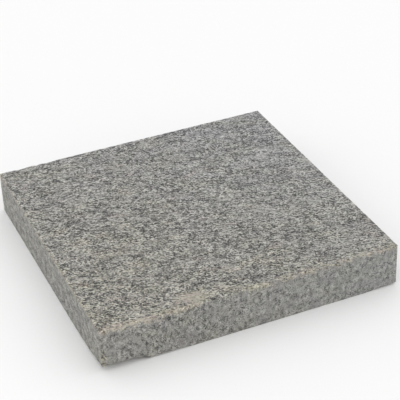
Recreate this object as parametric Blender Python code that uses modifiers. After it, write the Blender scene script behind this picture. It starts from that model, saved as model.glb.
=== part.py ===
"""A square paving slab sawn from grey granite, lying on its bed, with two corners of its underside broken.

The slab is one piece of stone. Its origin is at the centre of the bed, the face it lies on. X runs along
the front edge, Y towards the back and Z up to the walking face.
"""

from dataclasses import dataclass

import bmesh
import bpy

# Sawn size, in metres.
SIDE = 0.400
THICKNESS = 0.060

# Every sawn edge, or arris, is rubbed slightly round.
ARRIS_RADIUS = 0.0010
ARRIS_SEGMENTS = 2

# A cutter reaches this far outside the stone that it breaks away.
CUTTER_OVERHANG = 0.006
# The broken surface crosses the bed at a slope, as if it went on to this depth below it.
FEATHER_DEPTH = 0.001

GRANITE_COLOUR = (0.30, 0.295, 0.28, 1.0)
GRANITE_ROUGHNESS = 0.75


@dataclass
class Flake:
    """A shell of stone broken from a lower corner, as high as rise where the corner was."""

    name: str
    # Which corner: -1 or +1 along X and along Y.
    corner_x: int
    corner_y: int
    rise: float
    # It keeps its full height this far along the front face, and has run out by the second distance.
    front_flat: float
    front_end: float
    # It has half its height at this distance along the side face.
    side_half: float
    # Size of one facet of the broken surface.
    facet: float = 0.0045

    def side_end(self):
        """Where the surface is back at the bed on the side face: 1 / (1 + (v / half)^2) = feather share."""
        share = FEATHER_DEPTH / (self.rise + FEATHER_DEPTH)
        return self.side_half * (1.0 / share - 1.0) ** 0.5


# The front left corner lost a deep flake, and a wide thin one round it.
FLAKES = (
    Flake("left_flake", -1, -1, rise=0.0088, front_flat=0.042, front_end=0.070, side_half=0.038),
    Flake("left_sliver", -1, -1, rise=0.0021, front_flat=0.07, front_end=0.15, side_half=0.11, facet=0.012),
    Flake("right_flake", 1, -1, rise=0.0028, front_flat=0.0, front_end=0.060, side_half=0.016),
)


def clear_scene():
    for thing in list(bpy.data.objects):
        bpy.data.objects.remove(thing, do_unlink=True)


def new_collection(name):
    collection = bpy.data.collections.new(name)
    bpy.context.scene.collection.children.link(collection)
    return collection


def granite_material():
    material = bpy.data.materials.new("grey_granite")
    material.use_nodes = True
    shader = material.node_tree.nodes["Principled BSDF"]
    shader.inputs["Base Color"].default_value = GRANITE_COLOUR
    shader.inputs["Roughness"].default_value = GRANITE_ROUGHNESS
    shader.inputs["Metallic"].default_value = 0.0
    return material


def add_object(name, shape, collection):
    """An object that holds the bmesh given."""
    mesh = bpy.data.meshes.new(name)
    shape.to_mesh(mesh)
    shape.free()
    thing = bpy.data.objects.new(name, mesh)
    collection.objects.link(thing)
    return thing


def sawn_slab(collection):
    """The whole slab as it left the saw, with its arrises rubbed round."""
    shape = bmesh.new()
    bmesh.ops.create_cube(shape, size=1.0)
    bmesh.ops.scale(shape, verts=shape.verts, vec=(SIDE, SIDE, THICKNESS))
    bmesh.ops.translate(shape, verts=shape.verts, vec=(0.0, 0.0, THICKNESS / 2))
    slab = add_object("stone_slab", shape, collection)
    bevel = slab.modifiers.new("rubbed_arrises", "BEVEL")
    bevel.width = ARRIS_RADIUS
    bevel.segments = ARRIS_SEGMENTS
    return slab


def ease(share):
    """0 up to 0, 1 from 1 on, and a smooth curve between."""
    share = min(1.0, max(0.0, share))
    return share * share * (3.0 - 2.0 * share)


def broken_height(flake, along_front, along_side):
    """Height of the broken surface over the bed, at these distances from the corner."""
    front = 1.0 - ease((along_front - flake.front_flat) / (flake.front_end - flake.front_flat))
    side = 1.0 / (1.0 + (along_side / flake.side_half) ** 2)
    return (flake.rise + FEATHER_DEPTH) * front * side - FEATHER_DEPTH


def flake_cutter(flake, collection):
    """The stone that broke away: a grid lifted to the broken surface, then extruded down past the bed."""
    # The cutter's side runs from outside the corner to past the end of the break.
    low = -CUTTER_OVERHANG
    front_size = flake.front_end + 2 * CUTTER_OVERHANG
    side_size = flake.side_end() + 2 * CUTTER_OVERHANG

    shape = bmesh.new()
    bmesh.ops.create_grid(
        shape,
        x_segments=round(front_size / flake.facet),
        y_segments=round(side_size / flake.facet),
        size=0.5,
    )
    for vertex in shape.verts:
        along_front = low + (vertex.co.x + 0.5) * front_size
        along_side = low + (vertex.co.y + 0.5) * side_size
        vertex.co.x = flake.corner_x * (SIDE / 2 - along_front)
        vertex.co.y = flake.corner_y * (SIDE / 2 - along_side)
        vertex.co.z = broken_height(flake, along_front, along_side)

    lower = bmesh.ops.extrude_face_region(shape, geom=list(shape.faces))
    lowered = [item for item in lower["geom"] if isinstance(item, bmesh.types.BMVert)]
    for vertex in lowered:
        vertex.co.z = -CUTTER_OVERHANG
    bmesh.ops.recalc_face_normals(shape, faces=shape.faces)

    cutter = add_object(flake.name, shape, collection)
    cutter.hide_render = True
    cutter.display_type = "WIRE"
    return cutter


def break_away(slab, cutter):
    cut = slab.modifiers.new(cutter.name, "BOOLEAN")
    cut.operation = "DIFFERENCE"
    cut.solver = "EXACT"
    cut.object = cutter


def main():
    clear_scene()
    parts = new_collection("stone_slab_parts")
    cutters = new_collection("broken_away")
    slab = sawn_slab(parts)
    slab.data.materials.append(granite_material())
    for flake in FLAKES:
        break_away(slab, flake_cutter(flake, cutters))


main()
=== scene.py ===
# %% [markdown]
# # A granite paving slab
#
# The slab is one piece of grey granite, sawn square on a block saw. Its walking face was roughened so
# that it doesn't get slippery, its four sides and its bed were left as the saw cut them, and its arrises,
# the long edges, have been rubbed and chipped in handling. Two lower corners lost a flake when the slab
# was set down hard.
#
# The sawn solid is loaded as a fixed frame. It says how large the stone is and where it lies, and the
# lesson makes the stone's real skin in its place: first the shape, then the minerals, then the studio.

import itertools
import math

import bpy
import mathutils
import numpy as np
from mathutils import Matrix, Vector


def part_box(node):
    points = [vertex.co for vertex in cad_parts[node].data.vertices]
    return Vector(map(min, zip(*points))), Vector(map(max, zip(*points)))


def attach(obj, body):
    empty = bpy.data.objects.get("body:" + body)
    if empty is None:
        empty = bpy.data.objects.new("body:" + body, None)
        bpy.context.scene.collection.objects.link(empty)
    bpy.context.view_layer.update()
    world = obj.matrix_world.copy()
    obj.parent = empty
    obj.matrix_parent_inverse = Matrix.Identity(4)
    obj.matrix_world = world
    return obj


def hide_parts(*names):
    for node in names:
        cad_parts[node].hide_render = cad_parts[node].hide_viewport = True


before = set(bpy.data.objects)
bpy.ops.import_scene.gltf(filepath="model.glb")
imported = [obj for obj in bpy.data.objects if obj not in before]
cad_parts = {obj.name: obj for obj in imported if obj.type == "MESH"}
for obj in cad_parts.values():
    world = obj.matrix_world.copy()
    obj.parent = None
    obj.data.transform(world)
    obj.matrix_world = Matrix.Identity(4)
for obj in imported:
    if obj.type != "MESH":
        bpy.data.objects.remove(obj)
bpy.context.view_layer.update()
MM = 0.001

low, high = (np.array(corner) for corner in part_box("stone_slab"))
centre = (low + high) / 2
half_size = (high - low) / 2
print("sawn size in mm:", np.round((high - low) / MM, 1))

# %% [markdown]
# ## Random numbers that belong to a place
#
# Worn stone is uneven at many scales. A sculptor could press the dents in by hand, or a Displace
# modifier could read a cloud texture. Here the unevenness is a plain function of a point in space, so
# that two sheets which meet along an edge get the same value there and the skin stays closed.

# %% Noise worked out from a point's place
PLACE_PRIMES = np.array([73856093, 19349663, 83492791])
SEED_PRIME = 15485863
# In each round the bits are shifted so many places, and then multiplied.
STIRRING = ((16, 2246822519), (13, 3266489917))
LAST_BITS = np.uint64(0xFFFFFFFF)


def lattice_noise(points, cell, seed):
    """Smooth noise from -1 to 1, with features about one cell across.

    Every corner of a cubic lattice draws a number from its own place and the seed: primes turn them
    into one whole number, whose bits are stirred until no order is left. Between the corners the
    eight numbers are blended with the weights 3t^2 - 2t^3 along each axis.
    """
    spot = points / cell
    corner = np.floor(spot).astype(np.int64)
    share = spot - corner
    share = share * share * (3.0 - 2.0 * share)
    total = np.zeros(len(points))
    for step in itertools.product((0, 1), repeat=3):
        whole = (corner + step) @ PLACE_PRIMES + seed * SEED_PRIME
        draw = whole.astype(np.uint64) & LAST_BITS
        for shift, factor in STIRRING:
            draw = (draw ^ (draw >> np.uint64(shift))) * np.uint64(factor) & LAST_BITS
        draw = (draw ^ (draw >> np.uint64(16))) / LAST_BITS * 2.0 - 1.0
        total += draw * np.prod(np.where(step, share, 1.0 - share), axis=1)
    return total


def ease(share):
    """0 below 0, 1 above 1 and 3t^2 - 2t^3 between."""
    share = np.clip(share, 0.0, 1.0)
    return share * share * (3.0 - 2.0 * share)


trial_points = np.linspace(low, high, 2000)
trial = lattice_noise(trial_points, 6 * MM, 1)
print("noise on a diagonal runs from", round(trial.min(), 2), "to", round(trial.max(), 2))

# %% [markdown]
# ## The slab as six sheets
#
# A cube with a Subdivision Surface would spend as many faces on the hidden bed as on the walking face.
# Six ruled sheets are laid round the slab instead, like veneer on a box: a fine one on top, four walls
# and a coarse one below. The walls are fine near the top, where the arris is chipped, and half as fine
# below that, so one row of triangles in each wall joins every two fine steps to one coarse step.
#
# All sheets are ruled by the same lines, which stand close together only where an arris turns.

# %% Ruled lines across a face
ARRIS_RADIUS = 1.0 * MM
FINE_STEPS = 240
ARRIS_TURNS = 2


def ruled_lines(half, steps):
    """Line positions from one edge to the other.

    Even steps cover the flat part, and line k round each arris is radius * tan(45 k / turns degrees)
    further out, so that the lines fall at even angles when the arris is rounded.
    """
    flat = half - ARRIS_RADIUS
    turns = np.arange(1, ARRIS_TURNS + 1) / ARRIS_TURNS
    past = flat + ARRIS_RADIUS * np.tan(turns * math.pi / 4)
    return np.concatenate([-past[::-1], np.linspace(-flat, flat, steps + 1), past])


fine_lines = ruled_lines(half_size[0], FINE_STEPS)
coarse_lines = fine_lines[::2]
print(len(fine_lines), "fine lines and", len(coarse_lines), "coarse lines")

# %% [markdown]
# Each sheet carries three things: its points on a sharp box, its faces, and where each point goes on
# the flat layout that a texture can be baked on. The layout is the slab unfolded: the walking face
# large in one corner, the four walls along two of its sides at the same scale, and the bed, which
# nobody looks at closely, small in the last corner. Blender could unwrap the slab as well, but it would
# lay the pieces down in an order of its own.

# %% Rows of faces on a grid
def grid_faces(rows, columns, upright):
    """Four-sided faces of a grid whose points are counted row by row.

    upright is True where the rows go up as seen from outside, and False where they go down.
    """
    corner = np.arange((rows - 1) * columns).reshape(rows - 1, columns)[:, :-1].ravel()
    ring = [corner, corner + 1, corner + columns + 1, corner + columns]
    if not upright:
        ring = [ring[0], ring[3], ring[2], ring[1]]
    return np.stack(ring, axis=1)


def joining_faces(fine_start, coarse_start, coarse_count):
    """Triangles from a fine row down to a coarse row that has every second of its columns."""
    coarse = coarse_start + np.arange(coarse_count - 1)
    fine = fine_start + 2 * np.arange(coarse_count - 1)
    left = np.stack([fine, coarse, fine + 1], axis=1)
    middle = np.stack([coarse, coarse + 1, fine + 1], axis=1)
    right = np.stack([fine + 1, coarse + 1, fine + 2], axis=1)
    return np.concatenate([left, middle, right])


print("a grid of 3 x 3 points has the faces", grid_faces(3, 3, upright=True).tolist())

# %% [markdown]
# The walking face and the bed are level sheets over the same lines. The bed takes every second line,
# because it is plain and lies on the ground.

# %% The walking face and the bed
LAYOUT_TOP = 0.72
LAYOUT_BED = 0.26
LAYOUT_GAP = 0.006
NO_TRIANGLES = np.zeros((0, 3), dtype=np.int64)


def face_sheet(lines, height, layout_corner, layout_size, upright):
    """A level sheet: every pair of lines (x, y) at one height."""
    x, y = np.meshgrid(lines, lines)
    points = np.stack([x.ravel(), y.ravel(), np.full(x.size, height)], axis=1)
    layout = layout_corner + (points[:, :2] / half_size[:2] + 1.0) / 2 * layout_size
    return points, grid_faces(len(lines), len(lines), upright), NO_TRIANGLES, layout


walking_face = face_sheet(fine_lines, half_size[2], LAYOUT_GAP, LAYOUT_TOP, upright=True)
bed = face_sheet(coarse_lines, -half_size[2], 1 - LAYOUT_GAP - LAYOUT_BED, LAYOUT_BED, upright=False)
print("walking face:", len(walking_face[1]), "faces, bed:", len(bed[1]), "faces")

# %% [markdown]
# The four walls are one sheet, ruled once on the front face and turned round the slab by quarter turns.
# From the top down it has the rows of the rounded arris, a few fine rows for the chips, and even rows
# to the bed.

# %% The four walls
CHIPPED_ROWS = 4
CHIPPED_STEP = 1.5 * MM
WALL_STEPS = 18

arris_rows = ruled_lines(half_size[2], 1)[::-1][:ARRIS_TURNS + 1]
chipped_rows = arris_rows[-1] - CHIPPED_STEP * np.arange(1, CHIPPED_ROWS + 1)
upper_heights = np.concatenate([arris_rows, chipped_rows])
sawn_rows = np.linspace(upper_heights[-1], ARRIS_RADIUS - half_size[2], WALL_STEPS + 1)[1:]
lower_heights = np.concatenate([sawn_rows, -arris_rows[:-1][::-1]])


def wall_grid(lines, heights):
    """The front wall's points: every line (x) at every height, on the plane y = -half the side."""
    x, z = np.meshgrid(lines, heights)
    return np.stack([x.ravel(), np.full(x.size, -half_size[1]), z.ravel()], axis=1)


def wall_sheet(quarter_turns):
    """The front wall turned round the slab by so many quarter turns."""
    points = np.concatenate([wall_grid(fine_lines, upper_heights), wall_grid(coarse_lines, lower_heights)])
    fine, coarse = len(fine_lines), len(coarse_lines)
    lower_start = fine * len(upper_heights)
    upper = grid_faces(len(upper_heights), fine, upright=False)
    lower = grid_faces(len(lower_heights), coarse, upright=False) + lower_start
    join = joining_faces(lower_start - fine, lower_start, coarse)

    # On the layout, two walls lie above the walking face and two stand beside it.
    scale = LAYOUT_TOP / (2 * half_size[0])
    along = LAYOUT_GAP + (points[:, 0] + half_size[0]) * scale
    band = (2 * half_size[2]) * scale + LAYOUT_GAP
    across = 2 * LAYOUT_GAP + LAYOUT_TOP + (quarter_turns % 2) * band + (points[:, 2] + half_size[2]) * scale
    pair = (along, across) if quarter_turns < 2 else (across, along)
    layout = np.stack(pair, axis=1)

    angle = quarter_turns * math.pi / 2
    turn = np.array([[math.cos(angle), math.sin(angle)], [-math.sin(angle), math.cos(angle)]])
    points[:, :2] = points[:, :2] @ turn
    return points, np.concatenate([upper, lower]), join, layout


walls = [wall_sheet(quarter_turns) for quarter_turns in range(4)]
print("one wall:", len(walls[0][1]), "faces and", len(walls[0][2]), "joining triangles")

# %% [markdown]
# The sheets are sewn by giving points that lie on the same spot one number. It is done while the box
# is still sharp, because all that follows is a function of a point's place, and so moves both sides of a
# seam alike.

# %% Sew the sheets into one skin
SAME_SPOT = 0.001 * MM


def sew(sheets):
    """One set of points, four-sided faces, triangles, and a layout spot for each corner of each face."""
    counts = np.cumsum([0] + [len(sheet[0]) for sheet in sheets])
    points = np.concatenate([sheet[0] for sheet in sheets])
    layout = np.concatenate([sheet[3] for sheet in sheets])
    quads = np.concatenate([sheet[1] + start for sheet, start in zip(sheets, counts)])
    triangles = np.concatenate([sheet[2] + start for sheet, start in zip(sheets, counts)])
    corners = layout[np.concatenate([quads.ravel(), triangles.ravel()])]
    spots = np.round(points / SAME_SPOT).astype(np.int64)
    _, first, number = np.unique(spots, axis=0, return_index=True, return_inverse=True)
    number = number.ravel()
    return points[first], number[quads], number[triangles], corners


sharp, quads, triangles, layout_corners = sew([walking_face, *walls, bed])
print("sewn skin:", len(sharp), "points,", 2 * len(quads) + len(triangles), "triangles")

# %% [markdown]
# ## Rubbed and chipped arrises
#
# A mason rubs the sawn arrises just enough to take the bite off them, and knocks in transport do the
# rest. A Bevel modifier would round them too, but just as evenly everywhere. Rounding a box has a simple
# rule: clamp each point into a smaller box, then step out from there by the radius. Chips use the same
# rule again. The distance from the slab to a box with a much larger radius is nought on the flats and
# largest at the corners, so moving a point in by a changing share of that distance wears the edges and
# leaves the faces alone.

# %% Round the arrises
def towards_round(points, radius):
    """How far each point lies outside a box with rounded edges, and the way out of that box.

    q is the point clamped into the box that is one radius smaller all round. The way out is
    (p - q) / |p - q|, and the distance is |p - q| - radius.
    """
    inner = np.clip(points, radius - half_size, half_size - radius)
    out = points - inner
    length = np.linalg.norm(out, axis=1, keepdims=True)
    return length - radius, out / length


beyond, outward = towards_round(sharp, ARRIS_RADIUS)
rounded = sharp - outward * beyond
print("rubbing took up to", round(float(beyond.max()) / MM, 2), "mm off the corners")

# %% [markdown]
# Crumbling and knocks come from handling. They are worst along the upper front and left arrises, and
# much lighter along the others. Each chip could be carved by hand, but there are hundreds, so three
# sizes of noise decide where the arris has gone and how far.

# %% Wear the arrises unevenly
WEAR_RADIUS = 7.0 * MM
EVEN_WEAR = 0.04
CRUMBLED = 0.18
KNOCKED = 0.50
KNOCK_START = 0.15
KNOCK_SPAN = 0.90

# Shares of the handling at the front that reach the bed, the left side, and the back and right sides.
SHARE_BELOW = 0.15
SHARE_LEFT = 0.90
SHARE_BEHIND = 0.25


def handled(points):
    """How much an arris is knocked: 1 along the upper front edge, and less elsewhere.

    It grows forwards and to the left with the distance from the centre, is eased upwards from
    SHARE_BELOW to 1, and falls to SHARE_BEHIND near the right side.
    """
    from_centre = points / half_size
    to_front = np.maximum(-from_centre[:, 1], -SHARE_LEFT * from_centre[:, 0])
    right_end = ease((from_centre[:, 0] - 0.85) / 0.15)
    to_front = np.clip(to_front - right_end, SHARE_BEHIND, 1.0)
    return (SHARE_BELOW + (1.0 - SHARE_BELOW) * ease((from_centre[:, 2] + 1.0) / 2)) * to_front


def chipped_share(points):
    """Share of the arris that has gone: a little everywhere, more in short runs where it was knocked."""
    short = lattice_noise(points, 5.0 * MM, 21)
    medium = lattice_noise(points, 11.0 * MM, 22)
    fine = lattice_noise(points, 2.6 * MM, 23)
    knocks = ease((short + 0.8 * medium + 0.35 * fine - KNOCK_START) / KNOCK_SPAN)
    return (EVEN_WEAR + CRUMBLED * (fine + 1.0) / 2 + KNOCKED * knocks) * handled(points)


wearable, wear_way = towards_round(rounded, WEAR_RADIUS)
wearable = np.maximum(wearable, 0.0)
share_gone = chipped_share(rounded)[:, None]
worn = rounded - wear_way * wearable * share_gone
print("deepest chip:", round(float((wearable * share_gone).max()) / MM, 2), "mm")

# %% [markdown]
# ## The roughened walking face
#
# Roughening breaks the surface grain by grain, so it is a field of low bumps and small pits, a little
# wider than the crystals. A bump in the material alone would leave the outline dead straight, so the
# relief is in the mesh. Three sizes of noise and a field of single pits add up to it. Only depth is
# taken away: the highest bumps stay level with the sawn size. The walls and the bed get about a seventh
# of it, the slight waviness that a large saw leaves.

# %% Pits and bumps
FACE_RELIEF = 0.40 * MM
SAWN_RELIEF = 0.06 * MM
MEAN_DEPTH = 0.40
PIT_START = 0.35
TURN_START = 0.3
TURN_SPAN = 0.6


def pitted_depth(points):
    """Depth below the highest grains, from 0 to 1: wide hollows, grain-sized bumps and single pits."""
    hollows = lattice_noise(points, 17.0 * MM, 31)
    bumps = lattice_noise(points, 6.5 * MM, 32)
    grains = lattice_noise(points, 3.4 * MM, 33)
    pits = np.maximum(lattice_noise(points, 4.3 * MM, 34) - PIT_START, 0.0) / (1.0 - PIT_START)
    level = MEAN_DEPTH + 0.08 * hollows + 0.14 * bumps + 0.25 * grains + 0.35 * pits
    return np.clip(level, 0.0, 1.0)


def facing(share_of_way):
    """1 where the skin faces a way, 0 where it faces across it or away, and eased round the arris."""
    return ease((share_of_way - TURN_START) / TURN_SPAN)


on_top = facing(outward[:, 2])
depth = pitted_depth(rounded) * (SAWN_RELIEF + (FACE_RELIEF - SAWN_RELIEF) * on_top)
skin = worn - outward * depth[:, None]
print("relief of the walking face:", round(float(depth.max()) / MM, 2), "mm")

# %% [markdown]
# ## The broken corners
#
# The flakes came off the underside. Each left a shallow scoop that is highest at the corner of the slab
# and runs out to the bed. On the front face it keeps its height and then drops, and along the side face
# it fades slowly. A Boolean cut would leave a hard, regular edge here, so the skin itself is lifted. The
# wall above is drawn up to the broken edge, which keeps its rows evenly spaced, and the scoop gets the
# coarse, crystalline surface of a fresh break.

# %% Lift the broken corners off the bed
BREAK_FEATHER = 1.0 * MM
BREAK_ROUGHNESS = 0.5 * MM
FRESH_FROM = 2.0 * MM
DRAWN_HEIGHT = 30.0 * MM
LEFT = -1
RIGHT = 1


def broken_height(corner, rise, front_flat, front_end, side_half):
    """Height over the bed of the break at one of the front corners.

    (rise + feather) * (1 - ease((u - flat) / (end - flat))) / (1 + (v / half)^2) - feather, where u runs
    from the corner along the front face and v along the side face.
    """
    along_front = half_size[0] - corner * skin[:, 0]
    along_side = half_size[1] + skin[:, 1]
    front = 1.0 - ease((along_front - front_flat) / (front_end - front_flat))
    side = 1.0 / (1.0 + (along_side / side_half) ** 2)
    return np.maximum((rise + BREAK_FEATHER) * front * side - BREAK_FEATHER, 0.0)


left_flake = broken_height(LEFT, 8.8 * MM, front_flat=42 * MM, front_end=70 * MM, side_half=38 * MM)
left_sliver = broken_height(LEFT, 2.1 * MM, front_flat=70 * MM, front_end=150 * MM, side_half=110 * MM)
right_flake = broken_height(RIGHT, 2.8 * MM, front_flat=0 * MM, front_end=60 * MM, side_half=16 * MM)
break_height = np.maximum(left_flake, left_sliver) + right_flake
freshly_broken = ease(break_height / FRESH_FROM) * facing(-outward[:, 2])
break_grain = lattice_noise(skin, 6.0 * MM, 41) + 0.6 * lattice_noise(skin, 13.0 * MM, 42)
break_height = break_height + freshly_broken * BREAK_ROUGHNESS * (break_grain - 0.4)

above_bed = skin[:, 2] + half_size[2]
drawn = np.clip(1.0 - above_bed / DRAWN_HEIGHT, 0.0, 1.0)
skin[:, 2] += break_height * drawn
print("tallest break:", round(float(break_height.max()) / MM, 1), "mm")

# %% [markdown]
# ## Into Blender
#
# The finish needs to know where it is on the stone, so three numbers are stored at every point: how
# far it belongs to the walking face, how near it is to an arris or a corner, and how freshly broken it
# is. The slab is one piece of stone, so its skin is one mesh.

# %% Build the slab's mesh
def slab_mesh(name):
    """The sewn skin as a mesh, moved from the centre of the stone to its place over the floor."""
    mesh = bpy.data.meshes.new(name)
    mesh.from_pydata((skin + centre).tolist(), [], quads.tolist() + triangles.tolist())
    layout = mesh.uv_layers.new(name="OFBake")
    layout.data.foreach_set("uv", layout_corners.astype(np.float32).ravel())
    near_arris = wearable[:, 0] / wearable.max()
    kept = {"walking_face": on_top, "arris": near_arris, "broken": freshly_broken}
    for title, values in kept.items():
        attribute = mesh.attributes.new(title, "FLOAT", "POINT")
        attribute.data.foreach_set("value", values.astype(np.float32))
    mesh.shade_smooth()
    mesh.update()
    return mesh


slab = bpy.data.objects.new("granite_slab", slab_mesh("granite_slab"))
bpy.context.scene.collection.objects.link(slab)
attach(slab, "root")
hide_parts("stone_slab")
print("slab spans", [round(side / MM, 1) for side in slab.dimensions], "mm")

# %% [markdown]
# ## Writing a finish in nodes
#
# A finish is a network of small steps. It could be wired by hand in the Shader Editor, but a list of
# named steps is easier to read and to change. In this small class, add() makes any node and fills its
# sockets, and each helper after it is add() for one kind of node: arithmetic, mixing, easing, looking a
# number up in a row of colours, clouds and crystals.

# %% Helpers for a finish
class Finish:
    """A material under construction."""

    def __init__(self, name):
        self.material = bpy.data.materials.new(name)
        self.material.use_nodes = True
        self.tree = self.material.node_tree
        self.shader = self.tree.nodes["Principled BSDF"]

    def fill(self, socket, value):
        """Joins a socket to another node's output, or sets it to a plain value."""
        if isinstance(value, bpy.types.NodeSocket):
            self.tree.links.new(value, socket)
        else:
            socket.default_value = value

    def add(self, kind, output, inputs, **settings):
        """A node of one kind, with its settings and inputs filled, seen by one of its outputs."""
        node = self.tree.nodes.new(kind)
        for title, value in settings.items():
            setattr(node, title, value)
        for title, value in inputs.items():
            self.fill(node.inputs[title], value)
        return node.outputs[output]

    def number(self, operation, first, second=0.0, third=0.0):
        """Arithmetic on up to three numbers."""
        return self.add("ShaderNodeMath", 0, {0: first, 1: second, 2: third}, operation=operation)

    def vector(self, operation, first, second=(0.0, 0.0, 0.0), scale=1.0):
        """Arithmetic on up to two places, or on one place and a scale."""
        inputs = {0: first, 1: second, 3: scale}
        return self.add("ShaderNodeVectorMath", 0, inputs, operation=operation)

    def parts(self, value):
        """The three numbers that a place or a colour is made of."""
        split = self.add("ShaderNodeSeparateXYZ", 0, {0: value}).node
        return split.outputs[0], split.outputs[1], split.outputs[2]

    def mix(self, share, first, second, blend="MIX"):
        """The first colour with a share of the second blended over it."""
        inputs = {0: share, 6: first, 7: second}
        return self.add("ShaderNodeMix", 2, inputs, data_type="RGBA", blend_type=blend)

    def between(self, value, start, end, first=0.0, last=1.0):
        """The value's way from start to end, eased, as a number from the first to the last."""
        inputs = {0: value, 1: start, 2: end, 3: first, 4: last}
        return self.add("ShaderNodeMapRange", 0, inputs, interpolation_type="SMOOTHSTEP")

    def colours(self, value, stops):
        """A row of colours, each at its place from 0 to 1."""
        output = self.add("ShaderNodeValToRGB", 0, {0: value})
        row = output.node.color_ramp.elements
        while len(row) < len(stops):
            row.new(0.5)
        for element, (place, colour) in zip(row, stops):
            element.position = place
            element.color = (*colour, 1.0)
        return output

    def stored(self, title):
        """A number that was stored at each point of the mesh."""
        return self.add("ShaderNodeAttribute", 2, {}, attribute_name=title)

    def noise(self, place, size, detail=2.0, output=0):
        """Clouds with features about one size across, in millimetres."""
        inputs = {"Vector": place, "Scale": 1.0 / size, "Detail": detail}
        return self.add("ShaderNodeTexNoise", output, inputs)

    def crystals(self, place, size):
        """One random number for each crystal, about one size across, in millimetres."""
        cells = self.add("ShaderNodeTexVoronoi", "Color", {"Vector": place, "Scale": 1.0 / size})
        return self.parts(cells)[0]


def grey(level, warmth=1.0):
    """A linear colour of one level. Warmth takes away blue and adds a little red, as iron does."""
    return (level * (1.0 + 0.007 * warmth), level, level * (1.0 - 0.058 * warmth))


print("a grey of 0.3, cold and warmed by iron:", np.round(grey(0.3, 0.0), 3), np.round(grey(0.3), 3))

# %% [markdown]
# ## The minerals
#
# Granite is a tight mosaic of crystals one to three millimetres across: grey quartz, white to cream
# feldspar and dark mica, which gathers in small clusters. A picture of real stone would be quicker, but
# it would repeat, and it wouldn't run through the stone's edges. Here a cellular pattern gives each
# crystal one random number, and clouds are added so that the crystals fray into each other instead of
# looking like tiles.
#
# While the stone was still soft it was squeezed, so its grains are drawn out along one direction, the
# foliation. The patterns get it by stretching the coordinates that they are looked up in.

# %% Coordinates drawn out along the foliation
granite = Finish("grey_granite")
stone_place = granite.add("ShaderNodeTexCoord", "Object", {})
across_x, across_y, across_z = granite.parts(stone_place)

FOLIATION_ANGLE = math.radians(-22.0)
GRAIN_STRETCH = (1.70, 0.90, 1.0)


def drawn_out(angle, stretch):
    """Object coordinates in millimetres, turned about Z and then drawn out along each axis."""
    inputs = {
        "Vector": stone_place,
        "Rotation": (0.0, 0.0, angle),
        "Scale": tuple(MM * share for share in stretch),
    }
    return granite.add("ShaderNodeMapping", 0, inputs, vector_type="TEXTURE")


def shifted(start, x=0.0, y=0.0, z=0.0):
    """Coordinates moved on by some millimetres, so that a pattern differs from the one at the start."""
    return granite.vector("ADD", start, (x, y, z))


place = drawn_out(FOLIATION_ANGLE, GRAIN_STRETCH)
print("grains are", round(GRAIN_STRETCH[0] / GRAIN_STRETCH[1], 2), "times as long as wide")

# %% [markdown]
# A Voronoi pattern cuts space into cells, as crystals do when they grow until they meet. Two sizes of
# it make the mosaic. Its coordinates are pushed about by a small cloud first, which frays the crystals'
# edges. Two sizes of cloud go with it: one as fine as the crystals, and one as wide as a cluster.

# %% The mosaic of crystals
# Sizes in millimetres, as for all the patterns below.
LARGE_CRYSTAL = 1.3
SMALL_CRYSTAL = 0.8
CRYSTAL_CLOUD = 1.25
CRYSTAL_CLUSTER = 7.0
FRAY = 1.3

fray = granite.vector("SUBTRACT", granite.noise(place, FRAY, output="Color"), (0.5, 0.5, 0.5))
frayed_place = granite.vector("ADD", place, granite.vector("SCALE", fray, scale=FRAY))
large_crystal = granite.crystals(frayed_place, LARGE_CRYSTAL)
small_crystal = granite.crystals(frayed_place, SMALL_CRYSTAL)
cloud = granite.noise(place, CRYSTAL_CLOUD)
cluster = granite.noise(place, CRYSTAL_CLUSTER, detail=3.0)
print("crystals of", SMALL_CRYSTAL, "and", LARGE_CRYSTAL, "mm in clusters of", CRYSTAL_CLUSTER, "mm")

# %% [markdown]
# Mica doesn't lie evenly. It gathers in a few dark clumps and leaves quiet grey areas between. The thin
# wavy dark seams round lens-shaped grains are partly mica and partly painted shade: they stand in for
# the shade on the slopes of the roughened relief. The seams follow the middle value of a smooth cloud,
# as a contour line follows one height on a map. Over all this lies a veil of wide, faint clouds, since
# no stone is equally pale from one end to the other.

# %% Seams of mica and painted shade, clumps, quiet areas and the veil
SEAM_STRETCH = (2.3, 0.90, 1.0)
SEAM_SPACING = 3.0
SEAM_WAVE = 1.6
CLUMP = 5.5
QUIET_AREA = 13.0
VEIL = 24.0

seam_place = drawn_out(FOLIATION_ANGLE, SEAM_STRETCH)
wavy_place = granite.vector("ADD", seam_place, granite.vector("SCALE", fray, scale=SEAM_WAVE))
# The seams are partly mica and partly painted shade: dark lines that stand in for the shaded slopes of the
# relief.
off_middle = granite.number("SUBTRACT", granite.noise(wavy_place, SEAM_SPACING, detail=1.0), 0.5)
mica_and_shade_seam = granite.between(granite.number("ABSOLUTE", off_middle), 0.010, 0.070, 1.0, 0.0)
clump = granite.between(granite.noise(seam_place, CLUMP), 0.58, 0.72)
veil = granite.noise(shifted(place, y=260.0), VEIL)

# The contrast is lower in the quiet areas, and fades a little towards the right.
lively = granite.between(granite.noise(place, QUIET_AREA), 0.36, 0.54, 0.93, 1.56)
fading = granite.between(across_x, -20.0 * MM, 140.0 * MM, 1.03, 0.90)
contrast = granite.number("MULTIPLY", lively, fading)
print("seams about", SEAM_SPACING, "mm apart, drawn out", SEAM_STRETCH[0], "times")

# %% [markdown]
# All these patterns are weighed against each other and summed to one number, which is looked up in a
# row of mineral colours from dark mica to pale feldspar. Mixing one picture per mineral would need a
# mask for each, and the row of colours does it in one step.

# %% From dark mica to pale feldspar
MINERALS = (
    (0.00, grey(0.022, 0.3)),
    (0.18, grey(0.042, 0.7)),
    (0.34, grey(0.130, 1.1)),
    (0.52, grey(0.292, 1.4)),
    (0.72, grey(0.440, 1.5)),
    (1.00, grey(0.615, 1.5)),
)


def weighed(parts, offset):
    """offset + the sum of every part times its weight."""
    total = offset
    for part, weight in parts:
        total = granite.number("MULTIPLY_ADD", part, weight, total)
    return total


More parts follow.
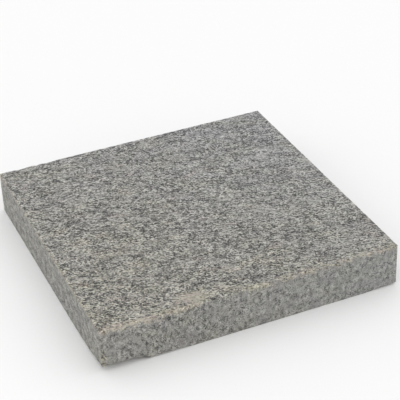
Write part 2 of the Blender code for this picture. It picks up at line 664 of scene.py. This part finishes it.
def spread(draw, amount):
    """0.5 + (draw - 0.5) * amount, so that an amount below 1 lowers the contrast."""
    return granite.number("MULTIPLY_ADD", granite.number("SUBTRACT", draw, 0.5), amount, 0.5)


# The seams' negative weight darkens the mosaic with mica and with painted shade.
mineral_parts = (
    (large_crystal, 0.55),
    (small_crystal, 0.20),
    (cloud, 0.85),
    (cluster, 0.55),
    (mica_and_shade_seam, -0.27),
    (clump, -0.14),
)
mineral = weighed([(veil, 0.22)], spread(weighed(mineral_parts, -0.612), contrast))
mosaic = granite.colours(mineral, MINERALS)
print("mosaic of", len(mineral_parts), "patterns in", len(MINERALS), "mineral colours")

# %% [markdown]
# Iron in the stone tints it in patches a few centimetres wide: cream and faintly pink where it has
# oxidised, cool grey where it hasn't. It has oxidised more at the front than at the back, which is paler
# and cooler, and a little more on the left than on the right. The tint multiplies the mosaic, so that
# dark crystals stay dark.

# %% Cream, pink and cool patches
PLAIN = (1.0, 1.0, 1.0)
CREAM_PATCHES = ((0.34, (0.99, 0.98, 1.0)), (0.48, PLAIN), (0.66, (1.025, 1.015, 0.965)))
PINK_PATCHES = ((0.58, PLAIN), (0.72, (1.06, 1.0, 0.99)))
FRONT_TO_BACK = ((0.0, (1.005, 0.997, 0.984)), (1.0, (1.032, 1.038, 1.088)))
OPEN_LEFT_TO_RIGHT = ((0.0, (1.010, 1.006, 0.994)), (1.0, (0.998, 1.001, 1.016)))
CREAM_SIZE = 26.0
PINK_SIZE = 19.0


def tinted(colour, value, stops):
    """The colour times a tint that is looked up by a value from 0 to 1."""
    return granite.mix(1.0, colour, granite.colours(value, stops), "MULTIPLY")


def patchy(colour, stops, size, shift):
    """The colour tinted in clouds of one size, so many millimetres away from the other clouds."""
    clouds = granite.noise(shifted(place, x=shift), size, detail=3.0)
    return tinted(colour, clouds, stops)


towards_back = granite.between(across_y, float(low[1]), float(high[1]))
towards_right = granite.between(across_x, float(low[0]), float(high[0]))
open_colour = tinted(mosaic, towards_back, FRONT_TO_BACK)
open_colour = tinted(open_colour, towards_right, OPEN_LEFT_TO_RIGHT)
open_colour = patchy(open_colour, CREAM_PATCHES, CREAM_SIZE, shift=140.0)
open_colour = patchy(open_colour, PINK_PATCHES, PINK_SIZE, shift=310.0)
print("cream patches of about", CREAM_SIZE, "mm, and pink ones of about", PINK_SIZE, "mm")

# %% [markdown]
# ## Sawn sides
#
# A saw cuts straight through the crystals and smears fine rock flour into them, so the sides look
# finer, flatter and softer than the roughened face. The same mosaic at a lower contrast would keep its
# long grains, so the sides get smaller crystals of their own. The clusters, seams and clumps run on
# faintly through them, and soft smears lie over them. Towards the right the flour lies thicker, with
# less contrast and a paler, cooler grey. Fresh breaks keep the open grain.

# %% Finer crystals with smears of rock flour
SAWN_CRYSTAL = 1.0
SMEAR = 5.0
SMEAR_STRETCH = (1.0, 2.0, 1.6)
SAWN_MINERALS = (
    (0.00, grey(0.030, 0.4)),
    (0.22, grey(0.072, 0.7)),
    (0.42, grey(0.190, 1.0)),
    (0.56, grey(0.257, 1.1)),
    (0.80, grey(0.345, 1.2)),
    (1.00, grey(0.460, 1.2)),
)

sawn_place = granite.vector("SCALE", stone_place, scale=1.0 / MM)
sawn_crystal = granite.crystals(granite.vector("ADD", sawn_place, fray), SAWN_CRYSTAL)
sawn_cloud = granite.noise(sawn_place, SAWN_CRYSTAL)
smear = granite.noise(drawn_out(0.0, SMEAR_STRETCH), SMEAR, detail=3.0)
# The seams' small negative weight carries their mica and painted shade faintly onto the sides too.
sawn_parts = (
    (sawn_crystal, 0.45),
    (small_crystal, 0.20),
    (sawn_cloud, 0.80),
    (cluster, 0.35),
    (smear, 1.00),
    (mica_and_shade_seam, -0.07),
    (clump, -0.14),
)
floury = granite.between(across_x, -120.0 * MM, 20.0 * MM, 1.00, 0.80)
sawn_mineral = spread(spread(weighed(sawn_parts, -0.835), contrast), floury)
sawn_mosaic = granite.colours(sawn_mineral, SAWN_MINERALS)
print("sawn mosaic of", len(sawn_parts), "patterns in", len(SAWN_MINERALS), "mineral colours")

# %% [markdown]
# The flour has cream and cool patches of its own. The walking face and the fresh breaks have the open
# grain, and all the rest is sawn. Which is which comes from the numbers stored in the mesh. They change
# smoothly round an arris, so no line shows there, as it would between two materials.

# %% Tint the sawn sides and join them to the open grain
FLOUR_PATCHES = ((0.36, (0.99, 0.97, 0.99)), (0.50, PLAIN), (0.64, (1.01, 1.005, 0.965)))
LEFT_TO_RIGHT = ((0.0, (1.006, 1.0, 0.988)), (1.0, (0.997, 1.0, 1.010)))
# The left side is paler than the front side next to it, which grows paler to the right.
SAWN_LEFT_TO_RIGHT = (
    (0.00, (0.990, 0.990, 0.990)),
    (0.12, (0.945, 0.945, 0.945)),
    (0.50, (1.018, 1.018, 1.020)),
    (1.00, (1.052, 1.060, 1.068)),
)
FLOUR_SIZE = 22.0

sawn_colour = tinted(sawn_mosaic, towards_right, SAWN_LEFT_TO_RIGHT)
sawn_colour = patchy(sawn_colour, FLOUR_PATCHES, FLOUR_SIZE, shift=520.0)
open_grain = granite.number("MAXIMUM", granite.stored("walking_face"), granite.stored("broken"))
body_colour = granite.mix(open_grain, sawn_colour, open_colour)
body_colour = tinted(body_colour, towards_right, LEFT_TO_RIGHT)
print("open grain on", round(100 * float(np.mean(np.maximum(on_top, freshly_broken)))), "% of the points")

# %% [markdown]
# ## Stained arris
#
# Water dries along the upper front and left arrises and leaves its lime and iron there, in a ragged
# band over both faces. The left part of the front arris is stained without a break, a clean stretch
# follows, and the rest is blotchy. The left arris has a narrower, paler line. One smooth patch has run
# from the front arris over the walking face. The stain could be painted on by hand. Here it is worked
# out from the distance to each arris, made ragged by clouds, so it stays sharp close up.

# %% Where the stain lies
RAGGED = 5.0
BLOTCH = 13.0
LEFT_BLOTCH = 9.0
FRONT_TOP_REACH = 10.0 * MM
FRONT_WALL_REACH = 7.0 * MM
LEFT_TOP_REACH = 2.4 * MM
LEFT_WALL_REACH = 5.5 * MM

below_top = granite.number("SUBTRACT", float(high[2]), across_z)
behind_front = granite.number("SUBTRACT", across_y, float(low[1]))
behind_left = granite.number("SUBTRACT", across_x, float(low[0]))
ragged = granite.between(granite.noise(place, RAGGED, detail=3.0), 0.32, 0.68, 0.45, 1.55)


def stain_along(behind, top_reach, wall_reach, strength):
    """The strength on the arris, and 0 past the stain's ragged reach over either face."""
    top_part = granite.number("DIVIDE", behind, top_reach)
    away = granite.number("ADD", top_part, granite.number("DIVIDE", below_top, wall_reach))
    near = granite.between(granite.number("DIVIDE", away, ragged), 0.25, 1.05, 1.0, 0.0)
    return granite.number("MULTIPLY", near, strength)


long_run = granite.between(across_x, -78.0 * MM, -58.0 * MM, 1.0, 0.0)
clean_end = granite.between(across_x, -35.0 * MM, -15.0 * MM)
blotch = granite.between(granite.noise(place, BLOTCH), 0.43, 0.56, 0.10, 0.85)
front_strength = granite.number("MAXIMUM", long_run, granite.number("MULTIPLY", blotch, clean_end))
front_stain = stain_along(behind_front, FRONT_TOP_REACH, FRONT_WALL_REACH, front_strength)
left_strength = granite.between(granite.noise(place, LEFT_BLOTCH), 0.38, 0.56, 0.30, 0.62)
left_stain = stain_along(behind_left, LEFT_TOP_REACH, LEFT_WALL_REACH, left_strength)
print("stain reaches", FRONT_TOP_REACH / MM, "mm over the top and", FRONT_WALL_REACH / MM, "mm down")

# %% [markdown]
# The patch is an ellipse just behind the front arris. The distance from its middle is measured in
# shares of its reach along each axis, and it fades out where that comes near 1. The same clouds that
# make the rest of the stain ragged do so here.

# %% The smooth patch that ran over the walking face
PATCH_PLACE = (-76.0 * MM, -185.0 * MM, float(high[2]))
PATCH_REACH = (24.0 * MM, 14.0 * MM, 8.0 * MM)

from_patch = granite.vector("DIVIDE", granite.vector("SUBTRACT", stone_place, PATCH_PLACE), PATCH_REACH)
patch_distance = granite.add("ShaderNodeVectorMath", 1, {0: from_patch}, operation="LENGTH")
patch = granite.between(granite.number("DIVIDE", patch_distance, ragged), 0.55, 1.05, 1.0, 0.0)
stained = granite.number("MAXIMUM", granite.number("MAXIMUM", front_stain, patch), left_stain)
print("patch of", 2 * PATCH_REACH[0] / MM, "mm by", 2 * PATCH_REACH[1] / MM, "mm")

# %% [markdown]
# The stain changes from pink to yellow along its way. Where it is thin it only warms the crystals that
# show through, so its colour multiplies theirs. Where it has grown to a crust it covers them. The stain
# makes the grain stand out, as wetting does, so the open grain shows through it on the walls too.

# %% What colour the stain has
STAIN_CHANGE = 14.0
CRUST = 3.0
STAINS = (
    (0.38, (1.21, 1.13, 1.08)),
    (0.44, (1.22, 1.17, 1.08)),
    (0.50, (1.20, 1.17, 1.09)),
    (0.60, (1.20, 1.19, 1.07)),
)
CRUSTS = (
    (0.38, (0.432, 0.388, 0.350)),
    (0.44, (0.438, 0.404, 0.338)),
    (0.50, (0.416, 0.394, 0.338)),
    (0.60, (0.432, 0.416, 0.334)),
)

stain_kind = granite.noise(shifted(place, x=740.0), STAIN_CHANGE)
crystals_through = granite.mix(granite.number("MULTIPLY", stained, 0.90), body_colour, open_colour)
thin_stain = granite.mix(stained, crystals_through, granite.colours(stain_kind, STAINS), "MULTIPLY")
crusted = granite.between(granite.noise(shifted(frayed_place, z=90.0), CRUST), 0.40, 0.56, 0.05, 0.85)
crusted = granite.number("MAXIMUM", crusted, granite.number("MULTIPLY", patch, 0.70))
crust_share = granite.number("MULTIPLY", crusted, stained)
stain_colour = granite.mix(crust_share, thin_stain, granite.colours(stain_kind, CRUSTS))
print("stain in", len(STAINS), "kinds and crust in", len(CRUSTS))

# %% [markdown]
# Brown rust specks sit in the stain. Damp has also crept up the lower half of the front left corner,
# which turned it yellowish and let it rust a little as well. A noise whose high values alone are kept
# makes single specks, where a wider choice would make blotches.

# %% Damp corner and rust specks
DAMP_PATCH = 3.5
RUST_SPECK = 2.3
DAMP_TINT = (1.08, 1.05, 0.90, 1.0)
RUST = (0.120, 0.094, 0.066, 1.0)

from_corner = granite.number("ADD", behind_front, behind_left)
near_corner = granite.between(from_corner, 2.0 * MM, 12.0 * MM, 1.0, 0.0)
low_down = granite.between(below_top, 20.0 * MM, 40.0 * MM)
damp_corner = granite.number("MULTIPLY", near_corner, low_down)
damp_patches = granite.between(granite.noise(sawn_place, DAMP_PATCH), 0.42, 0.58)
damp = granite.number("MULTIPLY", damp_corner, damp_patches)
damp_colour = granite.mix(damp, stain_colour, DAMP_TINT, "MULTIPLY")

rusting = granite.number("MAXIMUM", stained, granite.number("MULTIPLY", damp_corner, 0.5))
specks = granite.between(granite.noise(frayed_place, RUST_SPECK), 0.56, 0.62, 0.0, 0.85)
rusted = granite.mix(granite.number("MULTIPLY", specks, rusting), damp_colour, RUST)
print("rust specks of about", RUST_SPECK, "mm")

# %% [markdown]
# Along every arris single crystals are made paler. This is partly a painted highlight, where the rounded
# arris would catch the light, and partly bruising: rubbing and knocks fill a crystal with fine cracks,
# which scatter the light and make it paler.

# %% Painted highlight and bruised crystals along the arrises
HIGHLIGHT_BRUISE_SIZE = 3.0
HIGHLIGHT_AND_BRUISE_TINT = (1.24, 1.22, 1.18, 1.0)

highlights_and_bruises = granite.between(granite.noise(place, HIGHLIGHT_BRUISE_SIZE), 0.40, 0.60)
# A painted highlight along the arrises, together with bruised crystals: the pale tint follows the stored
# arris number.
highlighted_and_bruised = granite.number("MULTIPLY", granite.stored("arris"), highlights_and_bruises)
finished = granite.mix(highlighted_and_bruised, rusted, HIGHLIGHT_AND_BRUISE_TINT, "MULTIPLY")
granite.fill(granite.shader.inputs["Base Color"], finished)
print("bruises make a crystal up to", round(HIGHLIGHT_AND_BRUISE_TINT[1], 2), "times as pale")

# %% [markdown]
# ## Gloss and grain
#
# Quartz breaks with a glassy face and mica shines, while feldspar weathers dull. The roughness follows
# the same mosaic as the colour. The bump has the grain that is too fine for the mesh: crystals stand at
# slightly different heights on the roughened face, and much less so where the saw has cut them level.

# %% Roughness and bump
GRIT = 0.9
BUMP_HEIGHT = 0.60 * MM
BUMP_STRENGTH = 0.60
SAWN_SHARE = 0.35

dull = granite.between(mineral, 0.10, 0.80, 0.52, 0.82)
granite.fill(granite.shader.inputs["Roughness"], dull)
granite.shader.inputs["Specular IOR Level"].default_value = 0.35

grit = granite.noise(place, GRIT)
grain_height = weighed([(large_crystal, 0.45), (cloud, 0.8), (grit, 0.35), (mica_and_shade_seam, -0.25)], 0.0)
levelled = granite.between(open_grain, 0.0, 1.0, SAWN_SHARE, 1.0)
bump_inputs = {
    "Strength": BUMP_STRENGTH,
    "Distance": BUMP_HEIGHT,
    "Height": granite.number("MULTIPLY", grain_height, levelled),
}
granite.fill(granite.shader.inputs["Normal"], granite.add("ShaderNodeBump", "Normal", bump_inputs))
slab.data.materials.append(granite.material)
print("finish:", granite.material.name, "with", len(granite.tree.nodes), "nodes")

# %% [markdown]
# ## Studio
#
# A pale floor, an even pale surround and one large soft light from the left are enough for stone. The
# floor and the surround give most of the light, so the shadows stay faint. Two or three lamps would do
# the same, but their shadows would cross.

# %% Floor
FLOOR_HALF = 4.0
PAPER_WHITE = (0.93, 0.93, 0.93, 1.0)

floor_mesh = bpy.data.meshes.new("studio_floor")
corner_signs = ((-1, -1), (1, -1), (1, 1), (-1, 1))
floor_corners = [(x * FLOOR_HALF, y * FLOOR_HALF, float(low[2])) for x, y in corner_signs]
floor_mesh.from_pydata(floor_corners, [], [(0, 1, 2, 3)])
floor = bpy.data.objects.new("studio_floor", floor_mesh)
bpy.context.scene.collection.objects.link(floor)
paper = Finish("pale_paper")
paper.shader.inputs["Base Color"].default_value = PAPER_WHITE
paper.shader.inputs["Roughness"].default_value = 0.9
paper.shader.inputs["Specular IOR Level"].default_value = 0.1
floor.data.materials.append(paper.material)
print("floor", 2 * FLOOR_HALF, "m wide at a height of", float(low[2]), "m")

# %% [markdown]
# The surround is a plain white world, which lights the stone evenly from all sides. The soft light only
# has to make the left side a little brighter than the front side, and to give the grain some depth.

# %% Light
SURROUND_STRENGTH = 1.05
KEY_PLACE = (-1.6, -0.5, 1.7)
KEY_SIZE = 1.2
KEY_POWER = 10.5

world = bpy.data.worlds.new("pale_surround")
bpy.context.scene.world = world
world.use_nodes = True
surround = world.node_tree.nodes["Background"]
surround.inputs["Color"].default_value = (1.0, 1.0, 1.0, 1.0)
surround.inputs["Strength"].default_value = SURROUND_STRENGTH

lamp = bpy.data.lights.new("soft_key", "AREA")
lamp.size = KEY_SIZE
lamp.energy = KEY_POWER
light = bpy.data.objects.new("soft_key", lamp)
bpy.context.scene.collection.objects.link(light)

# A lamp shines along its own -Z, so it is tilted from straight down and then turned to the origin.
way = -np.array(KEY_PLACE)
light.location = KEY_PLACE
light.rotation_euler = (math.acos(-way[2] / np.linalg.norm(way)), 0.0, math.atan2(way[0], -way[1]))
print("soft light", round(float(np.linalg.norm(way)), 2), "m from the slab")

# %% [markdown]
# ## Camera
#
# A long lens from a metre above the floor, a little to the left of the front, with a slight roll. The
# camera is placed by where it aims, how far away it is and its two angles, which are easier to think in
# than its coordinates.

# %% Camera
AIM = centre + np.array([21.3 * MM, 9.9 * MM, half_size[2]])
DISTANCE = 1.759
AZIMUTH = math.radians(22.79)
ELEVATION = math.radians(32.23)
ROLL = math.radians(-2.24)
LENS = 118.69

level_way = np.array([math.sin(AZIMUTH), math.cos(AZIMUTH), 0.0])
forward = level_way * math.cos(ELEVATION) - np.array([0.0, 0.0, math.sin(ELEVATION)])
level_right = np.cross(forward, (0.0, 0.0, 1.0))
level_right /= np.linalg.norm(level_right)
level_up = np.cross(level_right, forward)
right = level_right * math.cos(ROLL) + level_up * math.sin(ROLL)
up = np.cross(right, forward)

camera = bpy.data.objects.new("camera", bpy.data.cameras.new("camera"))
camera.data.lens = LENS
camera.data.clip_start = 0.05
camera.location = AIM - DISTANCE * forward
camera.rotation_euler = mathutils.Matrix(np.stack([right, up, -forward], axis=1).tolist()).to_euler()
bpy.context.scene.collection.objects.link(camera)
bpy.context.scene.camera = camera
bpy.context.scene.view_settings.view_transform = "Standard"
print("camera at", [round(value, 2) for value in camera.location], "m")
